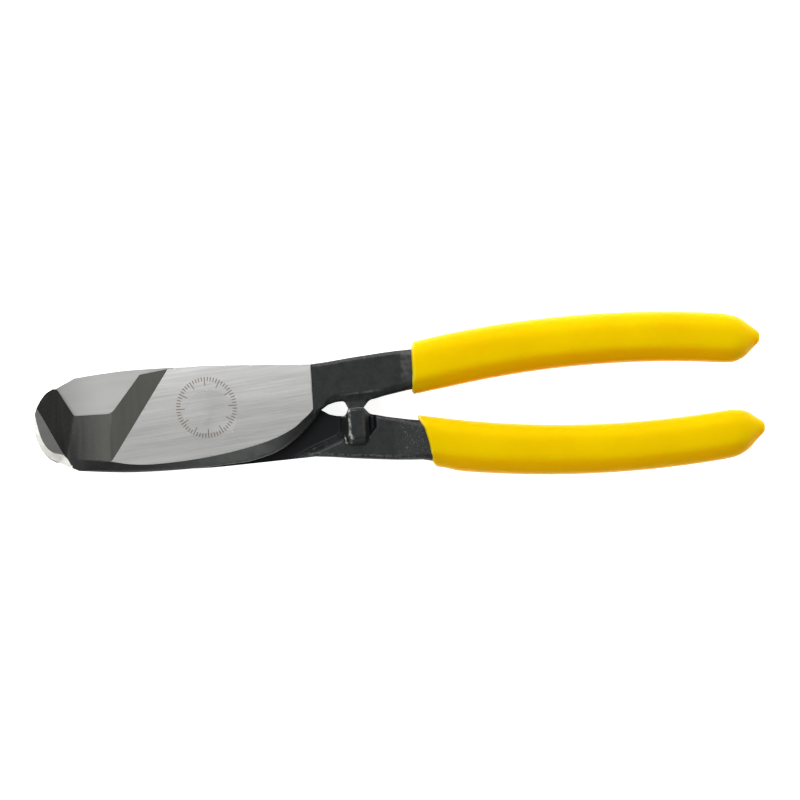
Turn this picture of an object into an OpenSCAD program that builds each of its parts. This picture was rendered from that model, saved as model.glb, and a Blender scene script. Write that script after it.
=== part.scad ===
// Hand cable cutter: two forged jaw-and-handle levers that cross in a lap joint,
// a countersunk hot rivet, and two dipped vinyl grips.
//
// Row frame: the origin is on the rivet's axis, in the ground rear face of the head.
// +X runs to the handles, +Y to the handle of the front lever, +Z out of the front face.
// Each lever is drawn about the joint plane, and the rear one is the front one turned
// half a turn about X.

/* [Head] */
// Half height of the head across the pivot
head_half = 14.8; // [14.4:0.1:15.4]
// Radius of the round nose
nose_r = 12.8; // [12.6:0.1:13]
// Distance from the pivot to the centre of the nose
nose_x = 37.8; // [37.5:0.1:38.1]
// Thickness of one jaw from the joint plane to its ground face
plate_t = 5.6; // [5.2:0.1:6.4]
// Distance from the pivot at which the ground face ends
ground_end = 29.3; // [28.5:0.1:30]

/* [Cutting notch] */
// Length of the straight bottom of the cutting edge
notch_flat = 10.7; // [9:0.1:11]
// Distance from the pivot to the middle of the notch
notch_x = 33.7; // [33.2:0.1:34.2]
// How far the bottom of each notch passes the centre line when shut
notch_past = 2.5; // [1.5:0.1:2.6]
// Height of the vertical land that backs the cutting edge
edge_land = 0.9; // [0.5:0.1:1.4]
// Distance below the centre line at which the bevel of the notch ends
bevel_low = 11.4; // [10.5:0.1:12]

/* [Rivet] */
// Radius of the rivet's shank
rivet_r = 5.5; // [4.5:0.1:6]
// Radius of the countersunk heads in the ground faces
rivet_head_r = 7.6; // [7:0.1:8.2]
// Depth of each countersunk head
rivet_head_t = 2.8; // [2:0.1:3.2]

/* [Levers] */
// Distance from the pivot to the end of the steel inside the grip
tang_end = 152.5; // [148:0.5:153]
// Half thickness of the lever inside the grip, at the mouth of the grip
tang_half = 4.7; // [4.2:0.1:4.8]
// Half thickness of the lever near its end
tang_end_half = 3.8; // [3.2:0.1:4.2]
// Depth of the neck behind the joint plane
neck_back = 2.2; // [1.4:0.1:2.6]
// How far the neck's black face lies below the ground face
neck_step = 0.6; // [0.3:0.05:1]

/* [Closing stops] */
// Distance from the pivot to the middle of the stop lug
stop_x = 41.8; // [41.6:0.1:42.6]
// Width of the face on which the lugs meet
stop_w = 4.5; // [3.4:0.1:5]
// Half thickness of the lug and its boss
stop_half = 4.6; // [4:0.1:5]
// How far the boss runs out along the back of the neck
boss_len = 8.6; // [8:0.1:9.4]

/* [Grips] */
// Distance from the pivot to the mouth of the grip
grip_start = 58.4; // [58:0.1:60]
// How much farther out the rear grip's mouth begins, at its inner side
rear_mouth = 1.3; // [0:0.1:3]
// Slant of the rear grip's mouth, as X over Y
mouth_slant = 0.22; // [0:0.01:0.3]
// Distance from the pivot to the point of the grip
grip_tip = 158.5; // [158:0.1:160]
// Half thickness of the grip at its fullest
grip_half = 6.4; // [6.1:0.1:6.8]
// Thickness of the vinyl over the steel's edges
wall = 1.45; // [1.2:0.05:1.6]

/* [Clearances] */
// Gap between the two jaws on the joint plane
lap_gap = 0.04; // [0.02:0.01:0.08]
// Radial running clearance of the rivet in the front jaw
run_gap = 0.05; // [0.03:0.01:0.08]
// Gap between the two stop faces when shut
stop_gap = 0.04; // [0.02:0.01:0.1]

/* [Hidden] */
$fn = 64;

nose_c = [-nose_x, 0.2];
tip_angle = 131;          // where the nose arc meets the blunt point of the hook
kink_angle = 260;         // where the nose arc meets the belly
tang_r = 258.5;           // radius of the lever's outer edge inside the grip
tang_c = [113, 21.4 - tang_r];
palm_r = 281.4;           // radius of the lever's inner edge inside the grip
palm_c = [116, 10.2 - palm_r];
neck_chamfer = 1.1;
tang_chamfer = 2;
ramp_start = 52;          // where the back of the neck starts to thicken
far = 60;                 // longer than anything that it cuts

// Points on an arc from angle a0 to a1, both ends included.
function arc(c, r, a0, a1, n) =
    [for (i = [0:n]) let (a = a0 + (a1 - a0) * i / n) c + r * [cos(a), sin(a)]];

// A Catmull-Rom curve through the points, with n steps a span, without its last point.
function curve(p, n) = [
    for (i = [0:len(p) - 2]) for (j = [0:n - 1])
        let (t = j / n,
             a = p[max(i - 1, 0)], b = p[i], c = p[i + 1], d = p[min(i + 2, len(p) - 1)])
        0.5 * (2 * b + (c - a) * t + (2 * a - 5 * b + 4 * c - d) * t * t
               + (3 * b - a - 3 * c + d) * t * t * t)
];

// Where a curve drawn left to right has this X.
function height_at(p, x) = lookup(x, p);

// A rectangle in YZ at one X, with its corners cut or rounded in k steps.
function section(x, y0, y1, z0, z1, r, k) = [
    for (q = [0:3]) for (i = [0:k])
        let (a = 90 * q + 90 * i / k,
             cy = (q == 0 || q == 3) ? y1 - r : y0 + r,
             cz = (q < 2) ? z1 - r : z0 + r)
        [x, cy + r * cos(a), cz + r * sin(a)]
];

// A closed solid through the rings, which run along +X.
module loft(rings) {
    n = len(rings);
    m = len(rings[0]);
    polyhedron(
        points = [for (r = rings) each r],
        faces = concat(
            [[for (j = [0:m - 1]) j]],
            [[for (j = [m - 1:-1:0]) (n - 1) * m + j]],
            [for (i = [0:n - 2]) for (j = [0:m - 1])
                [i * m + j, (i + 1) * m + j, (i + 1) * m + (j + 1) % m]],
            [for (i = [0:n - 2]) for (j = [0:m - 1])
                [i * m + j, (i + 1) * m + (j + 1) % m, i * m + (j + 1) % m]]));
}

// ---- Edges of the lever, in the plane of the tool ----

hook = [-43.4, 10.2];
blunt = [-44.6, 10.7];
belly = concat(
    [blunt],
    arc(nose_c, nose_r, tip_angle, kink_angle, 22),
    curve([[-39, -12.9], [-31, -14], [-23, 0.2 - head_half], [-12, 0.1 - head_half],
           [0, 0.6 - head_half], [10.5, -13.4], [18, -11.4], [24, -7.9], [28.8, -3.7],
           [31.8, 0]], 4));

neck_outer = [[28, 13.3], [34, 13.6], [40, 14.3], [46, 14.9], [52, 15.5], [58, 16]];
neck_inner = [[28, 3], [34, 1.4], [36.5, 2], [40.5, 2.1], [46, 2.1], [51, 3.1], [58, 4.4]];

function outer_edge(x) =
    x < 59 ? height_at(neck_outer, x) : tang_c[1] + sqrt(pow(tang_r, 2) - pow(x - tang_c[0], 2));
function inner_edge(x) =
    x < 59 ? height_at(neck_inner, x) : palm_c[1] + sqrt(pow(palm_r, 2) - pow(x - palm_c[0], 2));

// The cutting edge, from the heel to the point of the hook.
heel = [-19.6, 13.2];
notch_corners = [
    heel,
    [-notch_x + notch_flat / 2, notch_past],
    [-notch_x - notch_flat / 2, notch_past],
    hook
];

// The line on the front face at which the notch's bevel starts, in the same order.
bevel_line = [
    [-11.5, 14.1],
    [-29, -bevel_low],
    [-42, -10],
    [-49.4, 5.2]
];

// The head and the root of the neck, which is one flat layer.
function head_outline() = concat(
    notch_corners,
    belly,
    [[31.8, 0], [34, 1.4], [34, 13.6]],
    curve([[29.6, 13.2], [12, 14.1], [-2, head_half - 0.15], [-11.5, 14.2], heel], 4));

// The back of the neck starts outside this line, so that the other jaw can swing.
shoulder = [[20.5, 20], [20.5, 13.1], [29.5, 9.6], [35.5, 7.2], [38.1, 4.9], [38.3, -4]];

// Below this line the front face is left as forged, and falls away to the belly.
draft_line = [[-42.4, -9.3], [-35, -10.1], [-29.3, -11.1], [-23, -12.3], [-17, -12.6],
              [-6, -12], [5.2, -10.5], [16.3, -7.9], [23, -5], [26.5, -2.4], [28.8, -0.4],
              [31, 2]];
function draft_drop(x) = lookup(x, [[-40.2, 0.2], [-33, 1.3]]);

// ---- The forged lever ----

// The three bevelled faces of the notch, as one cutter that meets the land at the edge.
module notch_bevel() {
    land = lap_gap / 2 + edge_land;
    grow = 1 + 1 / (plate_t - land);
    top = [for (i = [0:3]) notch_corners[i] + (bevel_line[i] - notch_corners[i]) * grow];
    over = [[-8, 30], [-56, 30]];
    base_ring = concat(notch_corners, [[-56, 22], [-14, 22]]);
    top_ring = concat(top, [over[1], over[0]]);
    n = len(base_ring);
    polyhedron(
        points = concat(
            [for (p = base_ring) [p[0], p[1], land]],
            [for (p = top_ring) [p[0], p[1], plate_t + 1]]),
        faces = concat(
            [[5, 1, 0], [5, 2, 1], [5, 4, 2], [4, 3, 2]],
            [[n, n + 1, n + 5], [n + 1, n + 2, n + 5], [n + 2, n + 4, n + 5], [n + 2, n + 3, n + 4]],
            [for (i = [0:n - 1]) [i, n + (i + 1) % n, n + i]],
            [for (i = [0:n - 1]) [i, (i + 1) % n, n + (i + 1) % n]]));
}

// The lever from the root of the neck to its end, as one bowed bar.
function bar_front(x) =
    lookup(x, [[ramp_start, plate_t - neck_step], [62, tang_half], [tang_end, tang_end_half]]);
function bar_back(x) =
    lookup(x, [[ramp_start, neck_back], [62, tang_half], [tang_end, tang_end_half]]);
function bar_chamfer(x) = lookup(x, [[52, neck_chamfer], [62, tang_chamfer]]);
function bar_round(x) = x < tang_end - 5 ? 0 : 1 - sqrt(max(0, 1 - pow((x - tang_end + 5) / 5.2, 2)));

module lever_bar() {
    stations = concat(
        [28, 31.5, 34, 37, 40.5, 46, 52, 55, 58, 60, 62],
        [for (i = [1:11]) 62 + i * (tang_end - 5 - 62) / 11],
        [tang_end - 3.2, tang_end - 1.6, tang_end - 0.5, tang_end]);
    loft([for (x = stations)
        let (y0 = inner_edge(x), y1 = outer_edge(x), s = bar_round(x) * (y1 - y0) / 2,
             r = min(bar_chamfer(x), (y1 - y0) / 2 - s - 0.4))
        section(x, y0 + s, y1 - s, -bar_back(x), bar_front(x), r, 1)]);
}

// The forged margin between the ground face and the belly, and the step down to the neck.
module forged_margin() {
    below = [for (p = belly) if (p[1] < -12.4 || p[0] > 0) p];
    loft([for (p = below)
        let (y_in = height_at(draft_line, p[0]), y_out = p[1] - 0.3)
        [[p[0], y_out, plate_t - draft_drop(p[0])], [p[0], y_in, plate_t],
         [p[0], y_in, plate_t + 1], [p[0], y_out, plate_t + 1]]]);
    translate([ground_end, -far / 2, plate_t - neck_step])
        cube([far, far, far]);
}

module stop_lug() {
    root = 2.8;    // where the lug meets the neck
    translate([0, 0, -stop_half])
        linear_extrude(2 * stop_half)
            polygon([[stop_x - stop_w / 2 - 1.3, root], [stop_x - stop_w / 2, stop_gap / 2],
                     [stop_x + stop_w / 2, stop_gap / 2], [stop_x + stop_w / 2 + 2.2, root]]);
}

// The rib that carries the stop face across the joint plane to the other lever's level.
module stop_boss() {
    draft = 1.4;
    hull() {
        translate([stop_x - stop_w / 2, stop_gap / 2, -stop_half])
            cube([stop_w, boss_len, 0.1]);
        translate([stop_x - stop_w / 2 - draft, stop_gap / 2 + 2.4, -neck_back + 0.4])
            cube([stop_w + 2 * draft, boss_len - 1.4, 0.1]);
    }
}

module swing_room() {
    translate([0, 0, lap_gap / 2 - far])
        linear_extrude(far)
            polygon(concat(shoulder, [[-far, -4], [-far, 20]]));
}

module front_half() {
    difference() {
        union() {
            translate([0, 0, lap_gap / 2])
                linear_extrude(plate_t - lap_gap / 2)
                    polygon(head_outline());
            difference() {
                union() {
                    lever_bar();
                    stop_lug();
                    stop_boss();
                }
                swing_room();
            }
        }
        notch_bevel();
        forged_margin();
    }
}

// ---- The nodes ----

module front_jaw_lever() {
    color([0.62, 0.62, 0.61])
        translate([0, 0, plate_t])
            difference() {
                front_half();
                translate([0, 0, -1])
                    cylinder(r = rivet_r + run_gap, h = plate_t + 2);
                translate([0, 0, plate_t - rivet_head_t])
                    cylinder(r1 = rivet_r + run_gap, r2 = rivet_head_r + run_gap, h = rivet_head_t);
            }
}

module rear_jaw_lever() {
    color([0.62, 0.62, 0.61])
        translate([0, 0, plate_t])
            rotate([180, 0, 0])
                difference() {
                    front_half();
                    translate([0, 0, -1])
                        cylinder(r = rivet_r, h = plate_t + 2);
                    translate([0, 0, plate_t - rivet_head_t])
                        cylinder(r1 = rivet_r, r2 = rivet_head_r, h = rivet_head_t);
                }
}

module pivot_rivet() {
    color([0.66, 0.66, 0.65]) {
        cylinder(r1 = rivet_head_r, r2 = rivet_r, h = rivet_head_t);
        translate([0, 0, rivet_head_t])
            cylinder(r = rivet_r, h = 2 * (plate_t - rivet_head_t));
        translate([0, 0, 2 * plate_t - rivet_head_t])
            cylinder(r1 = rivet_r, r2 = rivet_head_r, h = rivet_head_t);
    }
}

// Share to which the grip's width and thickness have shrunk on the way to its drip point.
function grip_end(x) = lookup(grip_tip - x, [
    [0, 0.03], [0.4, 0.12], [1.4, 0.28], [3.2, 0.55], [4.2, 0.7], [5.3, 0.83], [7, 0.94], [9, 1]]);
// The drip point lies nearer to the outer edge than to the inner one.
function drip_rise(x) = lookup(grip_tip - x, [[0, 0.9], [8, 0]]);
function grip_thick(x) = lookup(x, [
    [grip_start, grip_half - 0.5], [72, grip_half - 0.1], [100, grip_half], [150, grip_half - 0.7]]);

module grip_skin(start) {
    round_r = 4.4;
    stations = concat(
        [start],
        [for (i = [1:14]) start + i * (grip_tip - 9 - start) / 14],
        [for (d = [7, 5.3, 4.2, 3.2, 1.4, 0.4, 0]) grip_tip - d]);
    loft([for (x = stations)
        let (s = grip_end(x),
             mid = (outer_edge(x) + inner_edge(x)) / 2 + drip_rise(x),
             half_y = ((outer_edge(x) - inner_edge(x)) / 2 + wall) * s,
             half_z = grip_thick(x) * s)
        section(x, mid - half_y, mid + half_y, -half_z, half_z, min(round_r, half_y, half_z) * 0.98, 4)]);
}

module front_grip() {
    color([0.95, 0.8, 0.02])
        translate([0, 0, plate_t])
            difference() {
                grip_skin(grip_start);
                lever_bar();
            }
}

module rear_grip() {
    color([0.95, 0.8, 0.02])
        translate([0, 0, plate_t])
            rotate([180, 0, 0])
                difference() {
                    grip_skin(grip_start);
                    lever_bar();
                    // the dip line slants away from the other handle
                    translate([grip_start + rear_mouth, 3, -far / 2])
                        rotate([0, 0, -atan(mouth_slant)])
                            translate([-20, -far / 2, 0])
                                cube([20, far, far]);
                }
}

rear_jaw_lever();
pivot_rivet();
front_jaw_lever();
rear_grip();
front_grip();
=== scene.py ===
"""A hand cable cutter: two forged jaw levers, a flush rivet and two dipped vinyl grips.

Each lever is worked out in millimetres in its own frame: the joint plane is z = 0, +X runs to
the handle, +Y is the side of its own handle and +Z points out of its ground face. The rear
lever is the front one turned half a turn about X.
"""

import math

import bpy
import numpy as np
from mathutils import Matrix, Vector

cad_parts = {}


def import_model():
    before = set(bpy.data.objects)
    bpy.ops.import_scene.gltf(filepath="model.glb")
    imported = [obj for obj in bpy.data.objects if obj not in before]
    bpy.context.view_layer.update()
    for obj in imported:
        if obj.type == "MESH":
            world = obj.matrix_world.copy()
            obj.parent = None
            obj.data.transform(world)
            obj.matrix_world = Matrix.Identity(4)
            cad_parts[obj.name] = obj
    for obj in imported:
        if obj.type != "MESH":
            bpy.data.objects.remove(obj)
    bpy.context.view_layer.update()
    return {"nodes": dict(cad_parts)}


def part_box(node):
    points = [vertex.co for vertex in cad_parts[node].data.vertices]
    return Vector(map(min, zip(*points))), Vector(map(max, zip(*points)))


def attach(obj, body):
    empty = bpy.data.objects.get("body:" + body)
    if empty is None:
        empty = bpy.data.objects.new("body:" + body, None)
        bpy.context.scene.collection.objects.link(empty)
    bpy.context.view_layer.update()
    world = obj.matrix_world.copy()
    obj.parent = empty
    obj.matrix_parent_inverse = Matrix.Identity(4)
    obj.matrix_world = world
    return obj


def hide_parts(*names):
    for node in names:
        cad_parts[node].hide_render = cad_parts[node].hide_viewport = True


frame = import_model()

MM = 0.001

# ---- Sizes from the frame ----

rivet_low, rivet_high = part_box("pivot_rivet")
jaw_low, jaw_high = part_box("front_jaw_lever")
grip_low, grip_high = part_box("front_grip")

PLATE = (rivet_high.z - rivet_low.z) / 2 / MM      # joint plane to the ground face
JOINT_Z = (rivet_high.z + rivet_low.z) / 2 / MM    # height of the joint plane
NOSE_END = jaw_low.x / MM
TANG_END = jaw_high.x / MM
GRIP_TIP = grip_high.x / MM
RIVET_HEAD_R = rivet_high.x / MM
FLOOR_Z = min(low.z for low in (rivet_low, grip_low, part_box("rear_grip")[0]))

# ---- Sizes of a lever ----

NO_LIMIT = PLATE + 9       # higher than any face, where one doesn't reach
LAP = 0.02                 # half the gap on the joint plane
NOSE_R = 12.8
NOSE = (NOSE_END + NOSE_R, 0.2)
GROUND_END = 29.2          # the ground face stops here, and the black neck starts
NECK_FRONT = PLATE - 0.6
NECK_BACK = 2.2
TANG_FRONT = 4.7
TANG_THIN = 3.8            # half thickness at the end of the tang
RAMP = (52, 62)            # where the neck thickens into the tang
LAND = 0.92                # height of the land behind the cutting edge
STOP_X = 41.75
STOP_HALF = 4.6
STOP_W = 4.5
LUG_ROOT = 2.6             # Y where the stop lug's foot runs into the neck
LUG_TOES = (1.2, 2.2)      # how far its foot spreads toward the jaws and toward the grip
BOSS_LEN = 8.6
RIVET_R = 5.5
RIVET_HEAD_T = 2.8
BORE_GAP = 0.01
BEARING_R = 12.4           # the ground ring round the rivet, on the joint side
RELIEF = 0.1               # how much lower the black joint face round the ring lies

HEEL = (-19.6, 13.2)
NOTCH_RIGHT = (-28.35, 2.5)
NOTCH_LEFT = (-39.05, 2.5)
HOOK = (-43.4, 10.2)
BLUNT = (-44.6, 10.7)
BEVEL_LINE = [(-11.5, 14.1), (-29, -11.4), (-41.8, -9.8), (-49.3, 5.1)]
NOSE_FLAT = [(-44.7, -10.2), (-42.5, -11.3), (-40.1, -12.45)]
BELLY = [(-38.3, -13.3), (-31, -14.05), (-23, -14.6), (-12, -14.7), (-2, -14.4), (5, -13.9),
         (10.5, -13.4), (18, -11.4), (24, -7.9), (28.8, -3.7), (31.8, 0)]
DRAFT_LINE = [(-42.4, -9.3), (-35, -10.1), (-29.3, -11.1), (-27, -11.6), (-23, -12.3),
              (-16.9, -12.6), (-5.9, -12), (5.2, -10.5), (16.3, -7.9), (23.1, -5),
              (26.5, -2.4), (28.8, -0.4), (30.5, 2)]
CROWN = [(29.6, 13.25), (12, 14.1), (-2, 14.65), (-11.5, 14.3)]
RIM_LINE = [(-52.5, 9), (-50.3, 5), (-49.8, 1.7), (-48.9, -2.4), (-47.6, -5.5), (-45.5, -7.6),
            (-42.3, -8.7), (-39.9, -12.4), (-38.6, -15)]
SHOULDER = [(20.5, 20), (20.5, 13.1), (29.5, 9.6), (35.5, 7.2), (38.1, 4.9), (38.3, -4)]
NECK_OUTER = [(31, 13.4), (34, 13.65), (40, 14.35), (46, 14.95), (52, 15.5), (57, 15.8)]
NECK_INNER = [(33.9, 1.35), (36.5, 2), (40.5, 2.1), (46, 2.1), (50.5, 3.05), (57, 4.2)]
NOTCH_ZONE_END = -8        # the notch, its bevels and the hook lie on the far side of this X
MARGIN_END = 33
RIM_END = -36
RIM_SLOPE = 0.8            # fall of the nose's rim per millimetre
POCKET_DEPTH = 0.95
RIDGE_HEIGHT = 0.75
POCKET = [(43, 1.6), (47.3, 1.6), (47.3, 5.9), (44.3, 9.5), (43, 9.5)]
FOOT_LINE = ((38.0, 5.0), (38.45, 9.3))      # a low ridge beside the boss
OUTER_ARC = ((113, 21.4 - 258.5), 258.5)
INNER_ARC = ((116, 10.2 - 281.4), 281.4)


# ---- Curves and fields ----

def arc(center, radius, start, end, steps):
    """Points on an arc between two angles in degrees, both ends included."""
    turn = np.radians(np.linspace(start, end, steps + 1))
    return np.column_stack([center[0] + radius * np.cos(turn), center[1] + radius * np.sin(turn)])


def curve(points, steps):
    """A Catmull-Rom curve through the points."""
    p = np.array([points[0], *points, points[-1]], float)
    t = np.linspace(0, 1, steps, endpoint=False)[:, None]
    spans = []
    for a, b, c, d in zip(p, p[1:], p[2:], p[3:]):
        spans.append(0.5 * (2 * b + (c - a) * t + (2 * a - 5 * b + 4 * c - d) * t ** 2
                            + (3 * b - a - 3 * c + d) * t ** 3))
    return np.vstack(spans + [p[-1:]])


def fillet(before, corner, after, cut, steps=6):
    """A corner rounded by a curve that starts and ends at the distance cut from it."""
    before, corner, after = (np.array(p, float) for p in (before, corner, after))
    start = corner + cut * (before - corner) / np.linalg.norm(before - corner)
    end = corner + cut * (after - corner) / np.linalg.norm(after - corner)
    t = np.linspace(0, 1, steps + 1)[:, None]
    return (1 - t) ** 2 * start + 2 * t * (1 - t) * corner + t ** 2 * end


def on_arc(circle, x):
    """The upper Y of a circle at X."""
    (cx, cy), radius = circle
    return cy + np.sqrt(radius ** 2 - (x - cx) ** 2)


def along_arc(circle, start, end, steps):
    x = np.linspace(start, end, steps + 1)
    return np.column_stack([x, on_arc(circle, x)])


def smooth(t):
    t = np.clip(t, 0, 1)
    return t * t * (3 - 2 * t)


def mix(a, b, t):
    return a + (b - a) * t


def at(points, x):
    """Y on an outline drawn left to right, at X."""
    p = np.asarray(points, float)
    return np.interp(x, p[:, 0], p[:, 1])


def soft_max(a, b, width):
    return 0.5 * (a + b + np.sqrt((a - b) ** 2 + width ** 2))


def soft_min(a, b, width):
    return 0.5 * (a + b - np.sqrt((a - b) ** 2 + width ** 2))


def both(a, b, radius):
    """The overlap of two fields, with its edge rounded."""
    u = np.maximum(a + radius, 0)
    v = np.maximum(b + radius, 0)
    return np.minimum(-radius, np.maximum(a, b)) + np.hypot(u, v)


def either(a, b, radius):
    """Two fields joined, with a fillet."""
    u = np.maximum(radius - a, 0)
    v = np.maximum(radius - b, 0)
    return np.maximum(radius, np.minimum(a, b)) - np.hypot(u, v)


def outline_distance(outline, x, y, reach=3.4):
    """Signed distance in the plane to a closed outline, negative inside, cut off at reach."""
    p = np.asarray(outline, float)
    q = np.roll(p, -1, axis=0)
    low = np.minimum(p[:, 0], q[:, 0])
    high = np.maximum(p[:, 0], q[:, 0])
    flat_x, flat_y = np.ravel(x), np.ravel(y)
    out = np.full(len(flat_x), reach)
    order = np.argsort(flat_x, kind="stable")
    for block in np.array_split(order, max(1, len(order) // 2500)):
        bx, by = flat_x[block], flat_y[block]
        near = (high >= bx.min() - reach) & (low <= bx.max() + reach)
        if not near.any():
            continue
        a, b = p[near], q[near]
        edge = b - a
        wx, wy = bx[:, None] - a[:, 0], by[:, None] - a[:, 1]
        t = np.clip((wx * edge[:, 0] + wy * edge[:, 1]) / (edge ** 2).sum(1), 0, 1)
        gap = np.hypot(wx - t * edge[:, 0], wy - t * edge[:, 1]).min(1)
        spans = (a[:, 0] > bx[:, None]) != (b[:, 0] > bx[:, None])
        run = np.where(edge[:, 0] == 0, 1, edge[:, 0])
        above = a[:, 1] + wx * edge[:, 1] / run > by[:, None]
        inside = (spans & above).sum(1) % 2 == 1
        out[block] = np.where(inside, -gap, gap)
    return np.clip(out, -reach, reach).reshape(np.shape(x))


# ---- The forged lever as a field ----

NECK_OUTER_CURVE = np.vstack([curve(NECK_OUTER, 6), along_arc(OUTER_ARC, 60, TANG_END + 2, 40)])
NECK_INNER_CURVE = np.vstack([curve(NECK_INNER, 6), along_arc(INNER_ARC, 60, TANG_END + 2, 40)])
BELLY_CURVE = curve(BELLY, 8)
DRAFT_CURVE = curve(DRAFT_LINE, 6)


def outer_edge(x):
    return at(NECK_OUTER_CURVE, x)


def inner_edge(x):
    return at(NECK_INNER_CURVE, x)


def lever_outline():
    """The lever from the front, as one closed outline without its stop lug."""
    inner = NECK_INNER_CURVE[NECK_INNER_CURVE[:, 0] < TANG_END - 2]
    outer = NECK_OUTER_CURVE[NECK_OUTER_CURVE[:, 0] < TANG_END - 2]
    low, high = inner_edge(TANG_END), outer_edge(TANG_END)
    return np.vstack([
        [HEEL],
        fillet(HEEL, NOTCH_RIGHT, NOTCH_LEFT, 1.6),
        fillet(NOTCH_RIGHT, NOTCH_LEFT, HOOK, 0.7),
        fillet(NOTCH_LEFT, HOOK, BLUNT, 0.5),
        fillet(HOOK, BLUNT, arc(NOSE, NOSE_R, 131, 135, 1)[1], 0.45),
        arc(NOSE, NOSE_R, 133, 228, 48),
        NOSE_FLAT,
        BELLY_CURVE,
        inner,
        [(TANG_END, low + 2), (TANG_END, high - 2)],
        outer[::-1],
        curve(CROWN, 8),
    ])


def swing_outline():
    """The room in which the other jaw swings, behind this lever's neck."""
    return np.vstack([SHOULDER, [(-60, -4), (-60, 20)]])


def rim_outline():
    """What lies inside the bevelled rim of the nose."""
    return np.vstack([curve(RIM_LINE, 6), [(60, -15), (60, 30), (-52.5, 30)]])


def lug_outline():
    """The stop lug, which widens toward its foot and reaches 2 mm into the neck."""
    left, right = STOP_X - STOP_W / 2, STOP_X + STOP_W / 2
    foot_left, foot_right = left - LUG_TOES[0], right + LUG_TOES[1]
    return [(foot_left, LUG_ROOT), (left, LAP), (right, LAP), (foot_right, LUG_ROOT),
            (foot_right, LUG_ROOT + 2), (foot_left, LUG_ROOT + 2)]


LEVER = lever_outline()
SWING = swing_outline()
RIM = rim_outline()
LUG = lug_outline()


def line_distance(a, b, x, y):
    """Signed distance to the line from a to b, positive on its right."""
    dx, dy = b[0] - a[0], b[1] - a[1]
    return ((x - a[0]) * dy - (y - a[1]) * dx) / math.hypot(dx, dy)


def notch_height(x, y):
    """Height of the three bevelled faces that lead down to the cutting edge."""
    corners = [HEEL, NOTCH_RIGHT, NOTCH_LEFT, HOOK]
    height = None
    for i in range(3):
        from_edge = -line_distance(corners[i], corners[i + 1], x, y)
        to_line = line_distance(BEVEL_LINE[i], BEVEL_LINE[i + 1], x, y)
        share = from_edge / np.maximum(from_edge + to_line, 2)
        facet = mix(LAND, PLATE, share)
        height = facet if height is None else soft_max(height, facet, 0.22)
    return np.where(x < NOTCH_ZONE_END, height, NO_LIMIT)


def margin_height(x, y):
    """Height of the forged margin, which falls away to the belly."""
    inner, outer = at(DRAFT_CURVE, x), at(BELLY_CURVE, x) - 0.3
    drop = np.interp(x, [-40.2, -33], [0.2, 1.3])
    return np.where(x < MARGIN_END, PLATE - drop * (inner - y) / (inner - outer), NO_LIMIT)


def rim_height(x, y):
    gap = outline_distance(RIM, x, y)
    return np.where(x < RIM_END, PLATE - RIM_SLOPE * gap, NO_LIMIT)


def tang_share(x):
    """How much of the ramp from the neck to the tang lies before X, from 0 to 1."""
    return smooth((x - RAMP[0]) / (RAMP[1] - RAMP[0]))


def tang_front(x):
    """Height of the front from the end of the neck along the tang."""
    return np.interp(x, [*RAMP, TANG_END], [NECK_FRONT, TANG_FRONT, TANG_THIN])


def tang_back(x):
    """Depth of the back along the neck and the tang."""
    tang = np.interp(x, [RAMP[1], TANG_END], [TANG_FRONT, TANG_THIN])
    return mix(NECK_BACK, tang, tang_share(x))


def neck_height(x, y):
    """Height of the front from the step at the end of the ground face to the end of the tang."""
    step = mix(PLATE, NECK_FRONT, np.clip((x - GROUND_END) / 0.3, 0, 1))
    band = mix(0, 2.2, smooth((x - 31) / 4))
    draft = 0.5 * np.clip((band - (y - inner_edge(x))) / 2.2, 0, 1) * smooth((x - 31) / 3)
    return np.where(x < RAMP[0], step, tang_front(x)) - draft * smooth((60 - x) / 6)


def front_height(x, y):
    face = np.minimum(neck_height(x, y), margin_height(x, y))
    return np.minimum(np.minimum(face, notch_height(x, y)), rim_height(x, y))


def boss_fall(x, y):
    """How far the boss falls off round its flat face: steeply at its sides, gently at its end."""
    corner = 0.8
    beside = abs(x - STOP_X) - STOP_W / 2 + corner
    beyond = 0.6 * (y - BOSS_LEN) + corner
    side = np.hypot(np.maximum(beside, 0), np.maximum(beyond, 0)) - corner
    return 0.95 * (side + np.sqrt(side ** 2 + 0.15 ** 2))


def foot_ridge(x, y):
    """The low ridge along the boss's foot, on the side of the jaws."""
    off = line_distance(*FOOT_LINE, x, y)
    past = np.maximum(FOOT_LINE[0][1] - y, y - FOOT_LINE[1][1])
    return RIDGE_HEIGHT * np.exp(-(off / 0.4) ** 2) * smooth(1 - past / 1.2)


def back_depth(x, y):
    """How far the back lies behind the joint plane. It is just short of it where the jaws lap."""
    out = smooth(outline_distance(SWING, x, y) / 3) * smooth((x - 21) / 9)
    edge = 0.45 * np.clip(1 - (outer_edge(x) - y) / 1.1, 0, 1) * smooth((60 - x) / 6)
    pocket = POCKET_DEPTH * smooth(0.3 - outline_distance(POCKET, x, y) / 1.1)
    relief = RELIEF * np.clip(np.minimum(x + 1, np.hypot(x, y) - BEARING_R) / 0.15, 0, 1)
    neck = (tang_back(x) + LAP - edge - pocket) * out - LAP - relief * (1 - out)
    boss = np.where(y > -1, STOP_HALF - boss_fall(x, y), -9)
    return soft_max(neck + foot_ridge(x, y), boss, 0.25)


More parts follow.
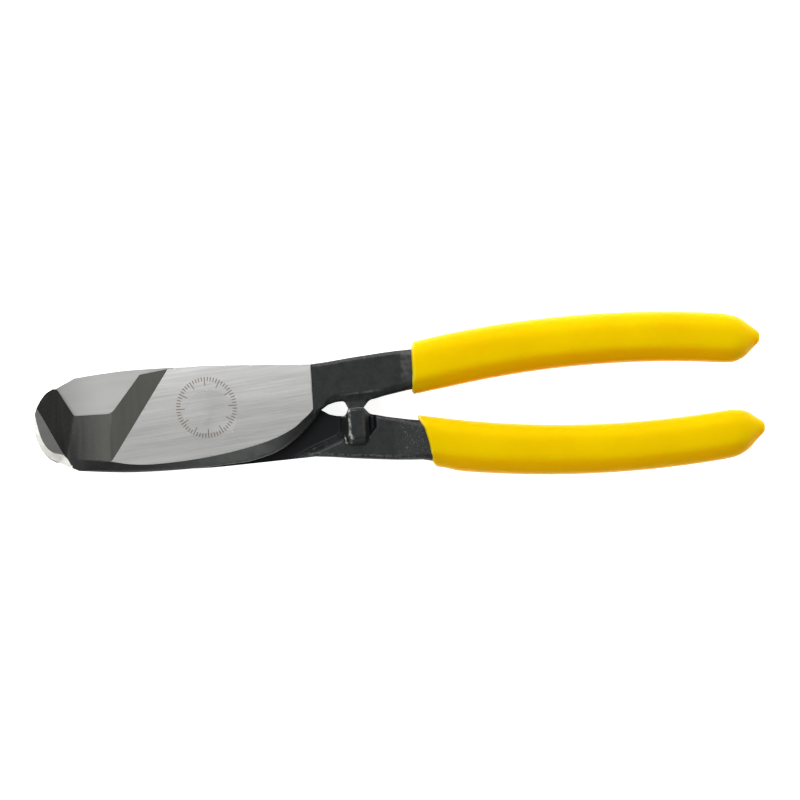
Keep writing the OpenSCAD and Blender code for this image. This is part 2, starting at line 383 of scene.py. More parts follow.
def edge_radii(x, y):
    """Radii of the front and back edges: ground edges are sharp and forged ones are round."""
    belly = smooth((at(DRAFT_CURVE, x) - y + 0.2) / 0.8) * smooth((x + 38) / 3)
    neck = smooth((x - GROUND_END) / 1.5)
    tang = tang_share(x)
    lug = 1 - 0.6 * smooth((1.8 - y) / 0.8) * smooth((x - 38) / 1) * smooth((47 - x) / 1)
    front = 0.08 + 0.92 * np.maximum(belly, neck) * lug + 1.3 * tang
    behind = smooth((outline_distance(SWING, x, y) - 0.2) / 1.6) * smooth((x - 27) / 4)
    return front, 0.03 + 0.97 * behind * lug + 1.3 * tang


def lever_field(x, y, z):
    """Negative inside the steel. Close to a distance in millimetres near its surface."""
    plan = either(outline_distance(LEVER, x, y), outline_distance(LUG, x, y), 0.6)
    plan = np.where((x > 36) & (x < 50), plan, outline_distance(LEVER, x, y))
    front_r, back_r = edge_radii(x, y)
    front = both(plan, z - front_height(x, y), front_r)
    back = both(plan, -back_depth(x, y) - z, back_r)
    flare = np.clip((z - PLATE + RIVET_HEAD_T) / RIVET_HEAD_T, 0, 1)
    bore = mix(RIVET_R, RIVET_HEAD_R, flare) + BORE_GAP
    return np.maximum(np.maximum(front, back), bore - np.hypot(x, y))


# ---- Meshing a field ----

FINE_STEP = 0.34
LONG_STEP = 1.15


def crossings(field, low, high, f_low, f_high):
    """Points between two ends of unlike sign where the field is zero."""
    a, b = np.zeros(len(f_low)), np.ones(len(f_low))
    fa, fb = f_low.copy(), f_high.copy()
    for step in range(7):
        share = fa / (fa - fb) if step % 2 == 0 else 0.5
        t = a + (b - a) * share
        f = field(*(mix(low, high, t[:, None])).T)
        same = (f < 0) == (fa < 0)
        a, fa = np.where(same, t, a), np.where(same, f, fa)
        b, fb = np.where(same, b, t), np.where(same, fb, f)
    return mix(low, high, (a + (b - a) * fa / np.where(fa == fb, 1, fa - fb))[:, None])


def slopes(field, points, step=0.012):
    """Unit gradients of a field."""
    columns = []
    for axis in range(3):
        shift = np.zeros(3)
        shift[axis] = step
        columns.append(field(*(points + shift).T) - field(*(points - shift).T))
    gradient = np.stack(columns, 1)
    return gradient / np.maximum(np.linalg.norm(gradient, axis=1, keepdims=True), 1e-9)


def crossed_edges(field, axes, values, axis):
    """Grid edges along an axis that the surface crosses.

    For each: where it crosses, its slope there, the four cells round the edge and which way.
    """
    inside = values < 0
    head, tail = [slice(None)] * 3, [slice(None)] * 3
    head[axis], tail[axis] = slice(0, -1), slice(1, None)
    start = np.nonzero(inside[tuple(head)] != inside[tuple(tail)])
    unit = np.eye(3, dtype=int)
    end = tuple(s + d for s, d in zip(start, unit[axis]))
    low = np.stack([a[s] for a, s in zip(axes, start)], 1)
    high = np.stack([a[e] for a, e in zip(axes, end)], 1)
    hit = crossings(field, low, high, values[start], values[end])
    cell_id = np.arange(values.size).reshape(values.shape)
    u, v = unit[(axis + 1) % 3], unit[(axis + 2) % 3]
    around = [cell_id[tuple(s - d for s, d in zip(start, back))] for back in (u + v, v, 0 * u, u)]
    return hit, slopes(field, hit), np.stack(around, 1), inside[start]


def solve_cells(ids, points, normals):
    """A point for each cell, as near as it can be to all the planes that cross the cell."""
    used, index = np.unique(ids, return_inverse=True)
    count = np.bincount(index).astype(float)
    center = np.stack([np.bincount(index, points[:, c]) / count for c in range(3)], 1)
    offset = (normals * (points - center[index])).sum(1)
    matrix = np.zeros((len(used), 3, 3))
    side = np.zeros((len(used), 3))
    for r in range(3):
        side[:, r] = np.bincount(index, normals[:, r] * offset)
        for c in range(3):
            matrix[:, r, c] = np.bincount(index, normals[:, r] * normals[:, c])
    sizes, vectors = np.linalg.eigh(matrix)
    strong = sizes > 0.015 * sizes[:, -1:]
    inverse = np.where(strong, 1 / np.where(strong, sizes, 1), 0)
    move = np.einsum("nij,nj,nkj,nk->ni", vectors, inverse, vectors, side)
    return used, center + move, strong.sum(1) > 1


def contour(field, axes):
    """Dual contouring: a mesh of triangles on the field's zero level that keeps its sharp edges."""
    plan_x, plan_y = np.meshgrid(axes[0], axes[1], indexing="ij")
    values = np.stack([field(plan_x, plan_y, np.full_like(plan_x, z)) for z in axes[2]], 2)
    found = [crossed_edges(field, axes, values, axis) for axis in range(3)]
    hits, normals, around, leaving = zip(*found)
    points = np.concatenate([np.tile(hit, (4, 1)) for hit in hits])
    normals = np.concatenate([np.tile(normal, (4, 1)) for normal in normals])
    ids = np.concatenate([cells.T.ravel() for cells in around])
    used, place, on_edge = solve_cells(ids, points, normals)
    for axis, cell in enumerate(np.unravel_index(used, values.shape)):
        last = axes[axis][np.minimum(cell + 1, len(axes[axis]) - 1)]
        place[:, axis] = np.clip(place[:, axis], axes[axis][cell], last)
    around, leaving = np.concatenate(around), np.concatenate(leaving)
    quads = np.searchsorted(used, np.where(leaving[:, None], around, around[:, ::-1]))
    return place, split_quads(place, quads, on_edge)


def split_quads(place, quads, on_edge):
    """Triangles from quads. A quad is cut between two corners on a sharp edge, or else the short way."""
    a, b, c, d = quads.T
    shorter = np.linalg.norm(place[a] - place[c], axis=1) < np.linalg.norm(place[b] - place[d], axis=1)
    first = on_edge[a] & on_edge[c]
    second = on_edge[b] & on_edge[d]
    through_a = np.where(first == second, shorter, first)
    one = np.where(through_a[:, None], np.stack([a, b, c], 1), np.stack([a, b, d], 1))
    two = np.where(through_a[:, None], np.stack([a, c, d], 1), np.stack([b, c, d], 1))
    return np.concatenate([one, two])


def lever_axes():
    """Fine steps over the head and neck, and long ones along the tang inside the grip.

    The uneven starts keep the grid's planes off the lever's flat faces.
    """
    head = np.arange(NOSE_END - 0.613, 66, FINE_STEP)
    tang = np.arange(66.3, TANG_END + 2.5, LONG_STEP)
    y = np.arange(-15.217, 22.6, FINE_STEP)
    z = np.arange(-5.491, PLATE + 0.6, FINE_STEP)
    return np.concatenate([head, tang]), y, z


# ---- Making objects ----

def to_world(points, turned):
    """Lever millimetres to metres in the frame, turned half a turn about X for the rear lever."""
    flip = np.array([1, -1, -1]) if turned else np.array([1, 1, 1])
    return (points * flip + np.array([0, 0, JOINT_Z])) * MM


def new_object(name, vertices, faces, materials, sharp=None):
    mesh = bpy.data.meshes.new(name)
    mesh.from_pydata(vertices.tolist(), [], [list(map(int, f)) for f in faces])
    mesh.validate()
    for material in materials:
        mesh.materials.append(material)
    mesh.shade_smooth()
    if sharp is not None:
        mesh.set_sharp_from_angle(angle=math.radians(sharp))
    thing = bpy.data.objects.new(name, mesh)
    bpy.context.scene.collection.objects.link(thing)
    return thing


# ---- Node helpers ----

def new_material(name, **settings):
    """A Principled material and a function that adds a linked node to its tree."""
    material = bpy.data.materials.new(name)
    material.use_nodes = True
    tree = material.node_tree
    shader = tree.nodes["Principled BSDF"]
    for socket, value in settings.items():
        shader.inputs[socket.replace("_", " ")].default_value = value

    def add(kind, inputs=None, **properties):
        node = tree.nodes.new("ShaderNode" + kind)
        for key, value in properties.items():
            setattr(node, key, value)
        for key, value in (inputs or {}).items():
            if isinstance(value, bpy.types.NodeSocket):
                tree.links.new(value, node.inputs[key])
            else:
                node.inputs[key].default_value = value
        return node

    return material, tree, shader, add


def position(add, axis):
    """One of the piece's own coordinates, in metres."""
    return add("SeparateXYZ", {0: add("TexCoord").outputs["Object"]}).outputs[axis]


def facing(add, axis):
    """How far a surface faces along an axis, from -1 to 1."""
    return add("SeparateXYZ", {0: add("NewGeometry").outputs["Normal"]}).outputs[axis]


def place_coords(add, scale, turn=0.0):
    """The piece's own coordinates in metres, turned about Z in degrees and stretched."""
    coords = add("TexCoord").outputs["Object"]
    turned = add("Mapping", {"Vector": coords, "Rotation": (0, 0, math.radians(turn))})
    return add("Mapping", {"Vector": turned.outputs[0], "Scale": scale}).outputs[0]


def noise(add, scale, detail, roughness, turn=0.0):
    """Noise with features of about one over the scale, which is one number or three."""
    stretch = scale if isinstance(scale, tuple) else (scale, scale, scale)
    coords = place_coords(add, stretch, turn)
    inputs = {"Vector": coords, "Scale": 1.0, "Detail": detail, "Roughness": roughness}
    return add("TexNoise", inputs).outputs["Fac"]


def ramp(add, value, low, high, out_low, out_high, kind="LINEAR"):
    inputs = {"Value": value, "From Min": low, "From Max": high, "To Min": out_low,
              "To Max": out_high}
    return add("MapRange", inputs, interpolation_type=kind).outputs[0]


def blend(add, factor, a, b):
    """A mix of two colours, or of two sockets that give them."""
    node = add("Mix", data_type="RGBA")
    tree = node.id_data
    for index, value in ((0, factor), (6, a), (7, b)):
        if isinstance(value, bpy.types.NodeSocket):
            tree.links.new(value, node.inputs[index])
        else:
            node.inputs[index].default_value = value
    return node.outputs[2]


def bump(add, tree, shader, height, distance, strength):
    inputs = {"Height": height, "Distance": distance, "Strength": strength}
    tree.links.new(add("Bump", inputs).outputs[0], shader.inputs["Normal"])


def calculate(add, operation, *values):
    return add("Math", dict(enumerate(values)), operation=operation).outputs[0]


def multiply(add, first, *others):
    for other in others:
        first = calculate(add, "MULTIPLY", first, other)
    return first


# ---- Materials ----

GRIND_TURN = -5.5                   # of the grinding marks, in degrees
MARK_CENTER = (-0.0009, 0.0027, 0)
MARK_OUTER = 0.0087
MARK_INNER = (0.0075, 0.0062)      # of short ticks and of long ones
MARK_TICKS = 60
MARK_SHARE = 0.36                  # of a tick's room that it fills


def mark_mask(add):
    """A plain graduated ring on the front face, as a laser leaves it: ticks round a centre."""
    coords = add("TexCoord").outputs["Object"]
    shifted = add("VectorMath", {0: coords, 1: MARK_CENTER}, operation="SUBTRACT").outputs[0]
    flat = add("VectorMath", {0: shifted, 1: (1, 1, 0)}, operation="MULTIPLY").outputs[0]
    radius = add("VectorMath", {0: flat}, operation="LENGTH").outputs["Value"]
    parts = add("SeparateXYZ", {0: flat}).outputs
    angle = calculate(add, "ARCTAN2", parts[1], parts[0])
    turns = calculate(add, "MULTIPLY", angle, MARK_TICKS / math.tau)
    line = calculate(add, "LESS_THAN", calculate(add, "FRACT", turns), MARK_SHARE)
    fifth = calculate(add, "FLOORED_MODULO", turns, 5.0)
    long_tick = calculate(add, "LESS_THAN", fifth, 1.0)
    past = calculate(add, "GREATER_THAN", radius, ramp(add, long_tick, 0, 1, *MARK_INNER))
    within = calculate(add, "LESS_THAN", radius, MARK_OUTER)
    in_front = calculate(add, "GREATER_THAN", position(add, 2), (JOINT_Z + PLATE - 0.1) * MM)
    return multiply(add, line, past, within, in_front)


def ground_steel_painted_light(name, level=1.0, streaks=1.0, shade=None, marked=False):
    """Surface-ground steel: fine scratches that run a few degrees off the tool's length.

    A shade is painted light and shade: an axis, where it starts and ends, and the factors by which the
    colour is scaled there.
    """
    material, tree, shader, add = new_material(name, Metallic=0.85, Anisotropic=0.3)
    wide = noise(add, (7, 330, 60), 4, 0.55, GRIND_TURN)
    fine = noise(add, (60, 5200, 400), 3, 0.6, GRIND_TURN)
    middle = 0.48 * level
    dark, light = middle * (1 - 0.1 * streaks), middle * (1 + 0.1 * streaks)
    tone = blend(add, ramp(add, wide, 0.3, 0.7, 0, 1), (dark, dark, 0.985 * dark, 1),
                 (light, light, 0.98 * light, 1))
    glint = 0.6 * level
    lined = blend(add, ramp(add, fine, 0.42, 0.62, 0, 0.35 * streaks), tone,
                  (glint, glint, 0.98 * glint, 1))
    # painted light and shade: the colour is made brighter or darker along one axis
    if shade:
        axis, start, end, low, high = shade
        factor = ramp(add, position(add, axis), start, end, low, high, "SMOOTHSTEP")
        lined = add("VectorMath", {0: lined, "Scale": factor}, operation="SCALE").outputs[0]
    if marked:
        lined = blend(add, multiply(add, mark_mask(add), 0.75), lined, (0.16, 0.11, 0.06, 1))
    tree.links.new(lined, shader.inputs["Base Color"])
    tree.links.new(ramp(add, fine, 0.3, 0.7, 0.36, 0.5), shader.inputs["Roughness"])
    bump(add, tree, shader, fine, 0.00002, 0.5)
    return material


def rim_steel_painted_highlight():
    """The nose's rim, ground by hand: slightly warm, and brightened to near white as a painted highlight
    of the light the rim catches.
    """
    material, tree, shader, add = new_material("rim_steel_painted_highlight", Metallic=0.15, Roughness=0.4)
    patch = noise(add, 260, 4, 0.6)
    tone = blend(add, ramp(add, patch, 0.35, 0.65, 0, 1), (0.78, 0.77, 0.7, 1),
                 (1.0, 0.99, 0.95, 1))
    tree.links.new(tone, shader.inputs["Base Color"])
    bump(add, tree, shader, patch, 0.00005, 0.6)
    return material


def facet_steel_painted_reflection():
    """The bevelled faces of the notch: cut steel, painted dark as a painted reflection of a dark
    surround, darker toward -Y on the hook's side and lighter toward the heel.
    """
    material, tree, shader, add = new_material(
        "facet_steel_painted_reflection", Metallic=0.55, Specular_IOR_Level=0.2)
    streak = noise(add, (900, 70, 70), 4, 0.55)
    grain = noise(add, 2600, 3, 0.6)
    # painted reflection: the tone steps lighter from the hook's side toward the floor and the heel, and
    # darker toward -Y
    floor_side_painted_light = ramp(add, position(add, 0), -0.0405, -0.0295, 0, 1, "SMOOTHSTEP")
    heel_side_painted_light = ramp(add, position(add, 0), -0.0292, -0.028, 0, 1, "SMOOTHSTEP")
    low = ramp(add, position(add, 1), 0.0, -0.01, 0, 1)
    left = blend(add, low, (0.016, 0.016, 0.0155, 1), (0.006, 0.006, 0.0058, 1))
    tone = blend(add, floor_side_painted_light, left, (0.043, 0.043, 0.039, 1))
    tone = blend(add, heel_side_painted_light, tone, (0.077, 0.077, 0.069, 1))
    tone = blend(add, ramp(add, streak, 0.35, 0.65, 0, 0.22), tone, (0.05, 0.05, 0.048, 1))
    tone = blend(add, ramp(add, grain, 0.6, 0.75, 0, 0.5), tone, (0.1, 0.095, 0.07, 1))
    tree.links.new(tone, shader.inputs["Base Color"])
    tree.links.new(ramp(add, grain, 0.3, 0.7, 0.36, 0.55), shader.inputs["Roughness"])
    bump(add, tree, shader, grain, 0.00003, 0.5)
    return material


def margin_steel():
    """The forged margin under the ground face, rubbed lighter below the pivot."""
    material, tree, shader, add = new_material(
        "margin_steel", Roughness=0.5, Specular_IOR_Level=0.4)
    scale = noise(add, 420, 5, 0.6)
    along = position(add, 0)
    rubbed = multiply(add, ramp(add, along, -0.028, 0.006, 0, 1, "SMOOTHSTEP"),
                      ramp(add, along, 0.013, 0.025, 1, 0, "SMOOTHSTEP"))
    tone = blend(add, rubbed, (0.012, 0.0125, 0.012, 1), (0.082, 0.087, 0.085, 1))
    tone = blend(add, ramp(add, scale, 0.45, 0.65, 0, 0.4), tone, (0.03, 0.031, 0.03, 1))
    tree.links.new(tone, shader.inputs["Base Color"])
    bump(add, tree, shader, scale, 0.0001, 0.5)
    return material


def joint_steel_painted_shade():
    """The black joint face that the other jaw doesn't touch: smooth and blue-black, painted darker than
    the forged black as painted shade in the recess and the pocket.
    """
    material, tree, shader, add = new_material(
        "joint_steel_painted_shade", Roughness=0.45, Specular_IOR_Level=0.2)
    patch = noise(add, 300, 4, 0.55)
    tone = blend(add, patch, (0.0018, 0.0022, 0.0036, 1), (0.0034, 0.004, 0.006, 1))
    tree.links.new(tone, shader.inputs["Base Color"])
    bump(add, tree, shader, patch, 0.00005, 0.4)
    return material


def highlight_line(add, start, end):
    """A thin painted highlight line on the upper side, from start to end in metres, where a forged edge
    catches the light.
    """
    x, y = position(add, 0), position(add, 1)
    slope = (end[1] - start[1]) / (end[0] - start[0])
    line_y = calculate(add, "MULTIPLY_ADD", x, slope, start[1] - slope * start[0])
    gap = calculate(add, "ABSOLUTE", calculate(add, "SUBTRACT", y, line_y))
    mask = ramp(add, gap, 0.0001, 0.0004, 1, 0, "SMOOTHSTEP")
    from_start = ramp(add, x, start[0], start[0] + 0.003, 0, 1)
    to_end = ramp(add, x, end[0] - 0.003, end[0], 1, 0)
    return multiply(add, mask, from_start, to_end, ramp(add, facing(add, 2), 0.3, 0.6, 0, 1))


def worn_specks(add, grain, along, across):
    """Small specks where the black has come off, most of them beside the lower grip."""
    patches = ramp(add, noise(add, 130, 2, 0.5), 0.54, 0.68, 0, 0.45)
    handled = multiply(add, ramp(add, along, 0.049, 0.056, 0, 0.6, "SMOOTHSTEP"),
                       ramp(add, across, 0.0, 0.004, 1, 0.35))
    raised = calculate(add, "MULTIPLY_ADD", handled, 0.13, grain)
    worn = calculate(add, "MAXIMUM", patches, handled)
    return multiply(add, ramp(add, raised, 0.66, 0.74, 0, 1), worn)


def worn_and_highlit_edges(add, patchy, along, across):
    """Bright broken edges: on the boss's side toward the jaws worn and strongly brightened as a painted
    highlight of an edge facing the light, and faint worn ones elsewhere.
    """
    edge = ramp(add, add("NewGeometry").outputs["Pointiness"], 0.507, 0.533, 0, 1)
    above = calculate(add, "SUBTRACT", position(add, 2), JOINT_Z * MM)
    behind = ramp(add, multiply(add, across, above), -3e-6, -1e-6, 1, 0)
    within = ramp(add, calculate(add, "ABSOLUTE", across), 0.0098, 0.0104, 1, 0)
    near_boss = multiply(add, ramp(add, along, 0.0405, 0.0412, 1, 0),
                         ramp(add, along, 0.0365, 0.0372, 0, 1), within, behind)
    return multiply(add, edge, ramp(add, near_boss, 0, 1, 0.08, 1.3), patchy)


def forged_steel():
    """Black oxide on a forged skin, with scale pits and worn specks, worn edges, painted highlights
    along a few edges and a painted reflection band near the grip.
    """
    material, tree, shader, add = new_material("forged_steel", Specular_IOR_Level=0.35)
    scale = noise(add, 420, 5, 0.6)
    grain = noise(add, 2400, 3, 0.6)
    along, across = position(add, 0), position(add, 1)
    tone = blend(add, ramp(add, scale, 0.35, 0.65, 0, 1), (0.006, 0.0072, 0.0074, 1),
                 (0.0135, 0.0152, 0.0154, 1))
    tone = blend(add, worn_specks(add, grain, along, across), tone, (0.15, 0.15, 0.145, 1))
    patchy = ramp(add, noise(add, 900, 3, 0.6), 0.4, 0.6, 0.1, 0.8)
    tone = blend(add, worn_and_highlit_edges(add, patchy, along, across), tone, (0.55, 0.55, 0.53, 1))
    # painted highlights: two thin light lines, along the lower arm's bottom edge and along the front
    # lever's inner draft line
    low_highlight_line = highlight_line(add, (0.026, -0.0121), (0.0545, -0.01475))
    high_highlight_line = multiply(add, highlight_line(add, (0.0365, 0.00385), (0.0505, 0.0048)), 0.6)
    rubbed = calculate(add, "MAXIMUM", low_highlight_line, high_highlight_line)
    tone = blend(add, multiply(add, rubbed, patchy), tone, (0.11, 0.11, 0.108, 1))
    # painted reflection: a lighter band across the upper arm where its face bends down toward the tang
    # near the grip
    band = multiply(add, ramp(add, along, 0.0549, 0.0557, 0, 1),
                    ramp(add, across, 0.006, 0.009, 0, 0.75), patchy)
    tone = blend(add, band, tone, (0.075, 0.075, 0.075, 1))
    tree.links.new(tone, shader.inputs["Base Color"])
    tree.links.new(ramp(add, scale, 0.3, 0.7, 0.42, 0.6), shader.inputs["Roughness"])
    bump(add, tree, shader, calculate(add, "ADD", scale, grain), 0.00012, 0.5)
    return material


def grip_vinyl():
    """Dipped vinyl, a little translucent: painted shade makes sides that face -Y more orange, and a
    painted highlight makes it pale at its lip.
    """
    material, tree, shader, add = new_material(
        "grip_vinyl", Subsurface_Weight=0.5, Subsurface_Scale=0.0035,
        Subsurface_Radius=(1.0, 0.25, 0.02), Specular_IOR_Level=0.12,
        Specular_Tint=(1.0, 0.8, 0.02, 1))
    tint = noise(add, 60, 3, 0.5)
    tone = blend(add, ramp(add, tint, 0.3, 0.7, 0, 1), (0.77, 0.5, 0.0004, 1),
                 (0.82, 0.555, 0.0004, 1))
    # painted shade: normals that face -Y, away from the key light, turn the yellow orange
    painted_shade_side = ramp(add, facing(add, 1), -0.1, -0.6, 0, 1, "SMOOTHSTEP")
    tone = blend(add, painted_shade_side, tone, (0.98, 0.475, 0.0004, 1))
    # painted highlight: paler yellow on the sharp roll of the mouth
    lip = multiply(add, ramp(add, add("NewGeometry").outputs["Pointiness"], 0.515, 0.54, 0, 0.6),
                   ramp(add, position(add, 0), 0.064, 0.068, 1, 0))
    tone = blend(add, lip, tone, (0.95, 0.8, 0.25, 1))
    tree.links.new(tone, shader.inputs["Base Color"])
    fine = noise(add, 1800, 2, 0.5)
    tree.links.new(ramp(add, fine, 0.3, 0.7, 0.33, 0.43), shader.inputs["Roughness"])
    bump(add, tree, shader, noise(add, (90, 200, 200), 2, 0.4), 0.0003, 0.35)
    return material


def floor_paper():
    """A white sheet that glows a little, so that the tool throws hardly any shadow."""
    material, tree, shader, add = new_material(
        "floor_paper", Roughness=0.9, Specular_IOR_Level=0.1, Emission_Color=(1, 1, 1, 1),
        Emission_Strength=0.85)
    fibre = noise(add, 700, 3, 0.5)
    tone = blend(add, fibre, (0.86, 0.86, 0.86, 1), (0.9, 0.9, 0.9, 1))
    tree.links.new(tone, shader.inputs["Base Color"])
    return material


# ---- The levers ----

# A lever's finishes, in the order of its materials. Several carry painted light: a painted highlight on
# the nose's rim, and painted shade and reflection on the facets, the hook's flat front and the black
# joint face.
FORGED, GROUND, NOSE_RIM, FACET, PAINTED_SHADE_GROUND, JOINT, MARGIN = range(7)


def face_finish(centers):
    """Which finish each face of a lever has."""
    x, y, z = centers.T
    finish = np.full(len(x), FORGED)
    lapped = (abs(z - LAP) < 0.03) & (x < BEARING_R + 0.2)
    relieved = (z < LAP + RELIEF + 0.03) & (z > LAP - 0.3) & (x < 40) & ~lapped
    on_top = z > front_height(x, y) - 0.12
    level = z > PLATE - 0.012
    notch = notch_height(x, y)
    rim = rim_height(x, y)
    margin = margin_height(x, y)
    in_notch = on_top & (notch < np.minimum(margin, PLATE)) & (notch < rim)
    wall = (outline_distance(LEVER, x, y) > -0.1) & (z < LAND + 0.15) & (y > 1.5)
    wall &= (x < HEEL[0]) & (y < 12.8)
    on_rim = on_top & (rim < PLATE - 0.02) & (rim <= notch + 0.02) & (rim < margin + 0.3)
    step = (x > GROUND_END - 0.05) & (x < GROUND_END + 0.32) & (z > NECK_FRONT + 0.03) & on_top
    step &= margin > PLATE
    left = line_distance(BEVEL_LINE[2], BEVEL_LINE[3], x, y) < 0
    finish[on_top & (margin < PLATE - 0.02) & (x < 27)] = MARGIN
    # painted reflection: the notch's bevels and lands take the darkened facet steel
    finish[in_notch | wall] = FACET
    # painted highlight: the nose's rim and the sloped step at the end of the ground face take the
    # near-white rim steel
    finish[on_rim | (step & ~level)] = NOSE_RIM
    finish[level | lapped] = GROUND
    # painted shade: the flat face at the front of the hook gets darker ground steel, standing in for a
    # face that slopes away from the light
    finish[level & left & (x < -40)] = PAINTED_SHADE_GROUND
    in_pocket = (outline_distance(POCKET, x, y) < -0.05) & (z > -NECK_BACK) & (z < 0)
    # painted shade: the relieved joint face and the pocket floor take the darkest black
    finish[relieved | in_pocket] = JOINT
    return finish


def jaw_lever(name, body, turned, materials, shape):
    points, faces = shape
    thing = new_object(name, to_world(points, turned), faces, materials, sharp=23)
    finish = face_finish(points[faces].mean(1))
    thing.data.polygons.foreach_set("material_index", finish.astype(np.int32))
    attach(thing, body)
    return thing


# ---- The grips ----

GRIP_WALL = 1.45
RING = 96
LIP = 0.9                  # length over which the mouth of the grip rolls in
SKIN_FRONT = ([58, 72, 100, 150], [6.0, 6.3, 6.4, 5.7])     # X, and the half thickness there
SKIN_BACK = ([58, 64, 72, 100, 150], [5.4, 6.1, 6.3, 6.4, 5.7])
CREASE_SLOPE = 33          # degrees
CREASE_START = 0.44        # where the crease runs, as a share of the half width
SKIN_ARC = ((113, 21.4 + GRIP_WALL - 305), 305)
GRIPS = {
    "front_grip": {
        "start": 58.0, "inner_wall": 1.8, "drip": 0.9, "crease": -1,
        "mouth": [(-9, 58), (4.1, 58), (8.8, 58.5), (16.1, 58.5), (18.5, 58.6)]},
    "rear_grip": {
        "start": 59.2, "inner_wall": 1.45, "drip": -0.4, "crease": 1,
        "mouth": [(-9, 58.6), (3.2, 58.8), (7, 61.0), (11.9, 62.2), (16.1, 62.5), (19, 63.6)]},
}
END_SHARE = [(0, 0.03), (0.12, 0.16), (0.7, 0.27), (1.5, 0.37), (3, 0.55), (4.2, 0.7),
             (5.6, 0.83), (7.5, 0.93), (9.8, 0.985), (13, 1)]
END_SHARE_CURVE = curve(END_SHARE, 8)


def section(x, low, high, front, back, exponent, crease=0):
    """A closed ring in YZ at X, with flat sides. A crease slopes off the side of its sign."""
    turn = np.linspace(0, math.tau, RING, endpoint=False)
    c, s = np.cos(turn), np.sin(turn)
    half_y = (high - low) / 2
    half_z = np.where(s > 0, front, back)
    radius = (np.abs(c / half_y) ** exponent + np.abs(s / half_z) ** exponent) ** (-1 / exponent)
    if crease:
        slope = math.radians(CREASE_SLOPE)
        run = crease * c * math.sin(slope) + np.abs(s) * math.cos(slope)
        reach = CREASE_START * half_y * math.sin(slope) + half_z * math.cos(slope)
        cut = np.where(run > 0.2, reach / np.maximum(run, 0.2), 99)
        radius = soft_min(radius, cut, 0.6)
    return np.stack([np.full(RING, x), (low + high) / 2 + radius * c, radius * s], 1)


def skin_ring(x, facts):
    """Round the outside of a grip at X, which shrinks toward its drip point."""
    from_tip = GRIP_TIP - x
    share = np.interp(from_tip, END_SHARE_CURVE[:, 0], END_SHARE_CURVE[:, 1])
    swell = mix(GRIP_WALL, facts["inner_wall"], smooth((x - 58) / 12))
    high, low = on_arc(SKIN_ARC, x), inner_edge(x) - swell
    middle = (high + low) / 2 + facts["drip"] * np.clip(1 - from_tip / 8, 0, 1)
    half = (high - low) / 2 * share
    front = np.interp(x, *SKIN_FRONT) * share
    back = np.interp(x, *SKIN_BACK) * share
    exponent = 2.2 + 0.9 * smooth((from_tip - 2) / 7)
    crease = facts["crease"] if from_tip > 1 else 0
    return section(x, middle - half, middle + half, front, back, exponent, crease)


def steel_ring(x, sink):
    """Round the tang at X, a little under its surface."""
    front, back = tang_front(x) - sink, tang_back(x) - sink
    return section(x, inner_edge(x) + sink, outer_edge(x) - sink, front, back, 5)


def grip_rings(name):
    """Rings from deep inside the sleeve out to its mouth, over the lip and on to the drip point."""
    facts = GRIPS[name]
    start = facts["start"]
    mouth = np.array(facts["mouth"])

    def at_mouth(ring, x):
        """Near the mouth a ring follows the line to which the vinyl reaches."""
        shift = np.interp(ring[:, 1], mouth[:, 0], mouth[:, 1]) - start
        ring[:, 0] += shift * (1 - smooth((x - start) / 13))
        return ring

    sink = 0.12
    rings = [steel_ring(x, sink) for x in np.linspace(TANG_END - 0.5, start + 4, 24)]
    rings += [at_mouth(steel_ring(x, sink), x) for x in start + np.array([2.4, 1.2, 0.4])]
    for turn in np.radians(np.linspace(8, 90, 9)):
        x = start + LIP * (1 - math.cos(turn))
        rings.append(at_mouth(mix(steel_ring(x, sink), skin_ring(x, facts), math.sin(turn)), x))
    stations = np.concatenate([
        start + LIP + np.array([0.5, 1.2, 2.2, 3.5, 5, 7, 9.5, 12]),
        np.linspace(start + 15, GRIP_TIP - 9, 44),
        GRIP_TIP - np.array([8, 7, 6.1, 5.3, 4.7, 4.2, 3.7, 3.2, 2.7, 2.2, 1.8, 1.35, 0.9, 0.55,
                             0.25, 0.07])])
    return rings + [at_mouth(skin_ring(x, facts), x) for x in stations]


def grip(name, body, turned, material):
    rings = grip_rings(name)
    count = len(rings)
    tip = np.array([[GRIP_TIP, rings[-1][:, 1].mean(), 0]])
    cap = rings[0].mean(0)[None, :]
    points = np.vstack(rings + [cap, tip])
    i = np.arange(count - 1)[:, None] * RING
    j = np.arange(RING)[None, :]
    k = (j + 1) % RING
    quads = np.stack([i + j, i + k, i + RING + k, i + RING + j], 2).reshape(-1, 4)
    j, k = j.ravel(), k.ravel()
    cap_faces = [[count * RING, int(b), int(a)] for a, b in zip(j, k)]
    last = (count - 1) * RING
    tip_faces = [[count * RING + 1, int(last + a), int(last + b)] for a, b in zip(j, k)]
    faces = quads.tolist() + cap_faces + tip_faces
    thing = new_object(name + "_skin", to_world(points, turned), faces, [material])
    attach(thing, body)
    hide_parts(name)
    return thing


# ---- The stage ----

VIEW_CENTER = (54.49, 1.5)     # the middle of the picture, in the tool's plane
VIEW_WIDTH = 228.9             # what the picture takes in at the front face
VIEW_TURN = 3.435              # how far the tool's length is turned in the picture
VIEW_DISTANCE = 3000


def camera():
    data = bpy.data.cameras.new("camera")
    data.sensor_width = 36
    data.lens = data.sensor_width * VIEW_DISTANCE / VIEW_WIDTH
    data.clip_end = 20
    thing = bpy.data.objects.new("camera", data)
    height = VIEW_DISTANCE + JOINT_Z + PLATE
    thing.location = (VIEW_CENTER[0] * MM, VIEW_CENTER[1] * MM, height * MM)
    thing.rotation_euler = (0, 0, -math.radians(VIEW_TURN))
    bpy.context.scene.collection.objects.link(thing)
    bpy.context.scene.camera = thing


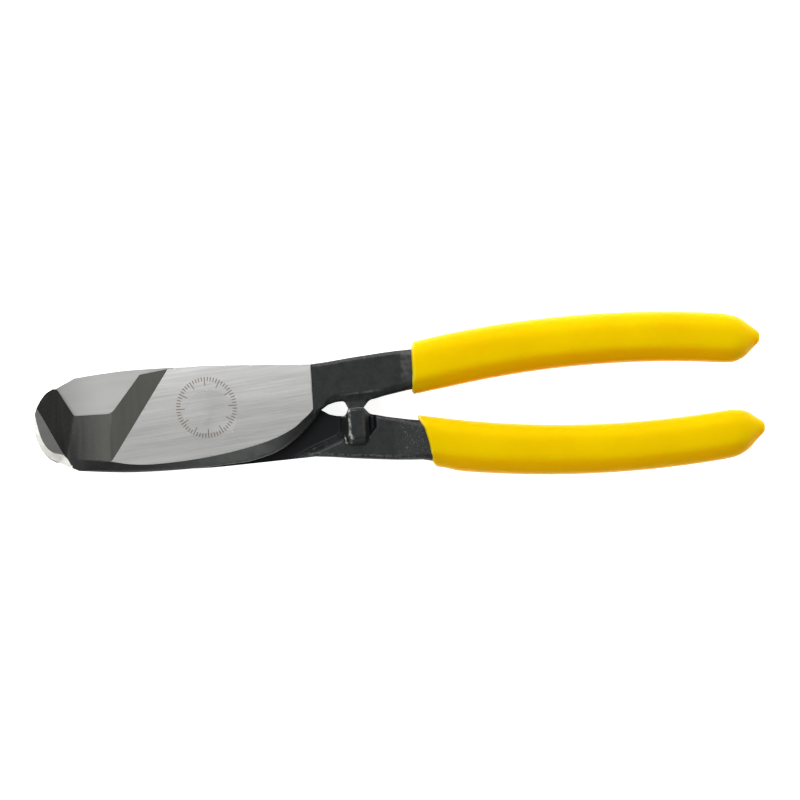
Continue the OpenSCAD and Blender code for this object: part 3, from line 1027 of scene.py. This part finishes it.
def area_light(name, place, target, size, power_w):
    data = bpy.data.lights.new(name, "AREA")
    data.shape = "RECTANGLE"
    data.size, data.size_y = size
    data.energy = power_w
    thing = bpy.data.objects.new(name, data)
    thing.location = place
    aim = Vector(target) - Vector(place)
    thing.rotation_euler = aim.to_track_quat("-Z", "Y").to_euler()
    bpy.context.scene.collection.objects.link(thing)


def world():
    """A soft surround, bright above and behind the tool and dim on the near side."""
    sky = bpy.data.worlds.new("world")
    sky.use_nodes = True
    tree = sky.node_tree
    backdrop = tree.nodes["Background"]
    backdrop.inputs["Strength"].default_value = 0.6
    coords = tree.nodes.new("ShaderNodeTexCoord")
    parts = tree.nodes.new("ShaderNodeSeparateXYZ")
    fade = tree.nodes.new("ShaderNodeMapRange")
    fade.inputs["From Min"].default_value = -0.75
    fade.inputs["From Max"].default_value = 0.4
    fade.inputs["To Min"].default_value = 0.06
    fade.inputs["To Max"].default_value = 1.0
    tree.links.new(coords.outputs["Generated"], parts.inputs[0])
    tree.links.new(parts.outputs[1], fade.inputs["Value"])
    tree.links.new(fade.outputs[0], backdrop.inputs["Color"])
    bpy.context.scene.world = sky


def floor():
    half = 6.0
    z = FLOOR_Z - 0.00005
    corners = np.array([(-half, -half, z), (half, -half, z), (half, half, z), (-half, half, z)])
    thing = new_object("floor", corners, [[0, 1, 2, 3]], [floor_paper()])


def lights():
    middle = (0.05, 0, 0)
    area_light("key", (0.05, 0.85, 0.85), middle, (1.3, 0.8), 14)
    area_light("fill", (-0.6, -0.2, 0.8), middle, (0.8, 0.8), 3)


def build():
    black = forged_steel()
    # painted light: the front ground face and the rivet grow brighter toward +Y, the side of the key
    # light
    marked = ground_steel_painted_light("ground_steel_marked", shade=(1, 0.003, 0.014, 0.99, 1.36), marked=True)
    # painted shade: the rear jaw's ground face darkens toward the nose, beside the front jaw's cutting
    # edges
    plain = ground_steel_painted_light("ground_steel_painted_light", shade=(0, -0.045, -0.029, 0.72, 1.04), streaks=0.35)
    # painted shade: darker ground steel for the hook's flat front face
    painted_shade_ground = ground_steel_painted_light("ground_steel_painted_shade", level=0.33, streaks=0.6)
    margin = margin_steel()
    joint = joint_steel_painted_shade()
    rim = rim_steel_painted_highlight()
    facet = facet_steel_painted_reflection()
    vinyl = grip_vinyl()
    shape = contour(lever_field, lever_axes())
    front_set = [black, marked, rim, facet, painted_shade_ground, joint, margin]
    rear_set = [black, plain, rim, facet, painted_shade_ground, joint, margin]
    front = jaw_lever("front_jaw_forging", "front_lever", False, front_set, shape)
    rear = jaw_lever("rear_jaw_forging", "rear_lever", True, rear_set, shape)
    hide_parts("front_jaw_lever")
    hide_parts("rear_jaw_lever")
    grip("front_grip", "front_lever", False, vinyl)
    grip("rear_grip", "rear_lever", True, vinyl)
    rivet = frame["nodes"]["pivot_rivet"]
    rivet.data.materials.clear()
    rivet.data.materials.append(marked)


build()
camera()
world()
floor()
lights()
scene = bpy.context.scene
scene.view_settings.view_transform = "Standard"
scene.view_settings.look = "None"
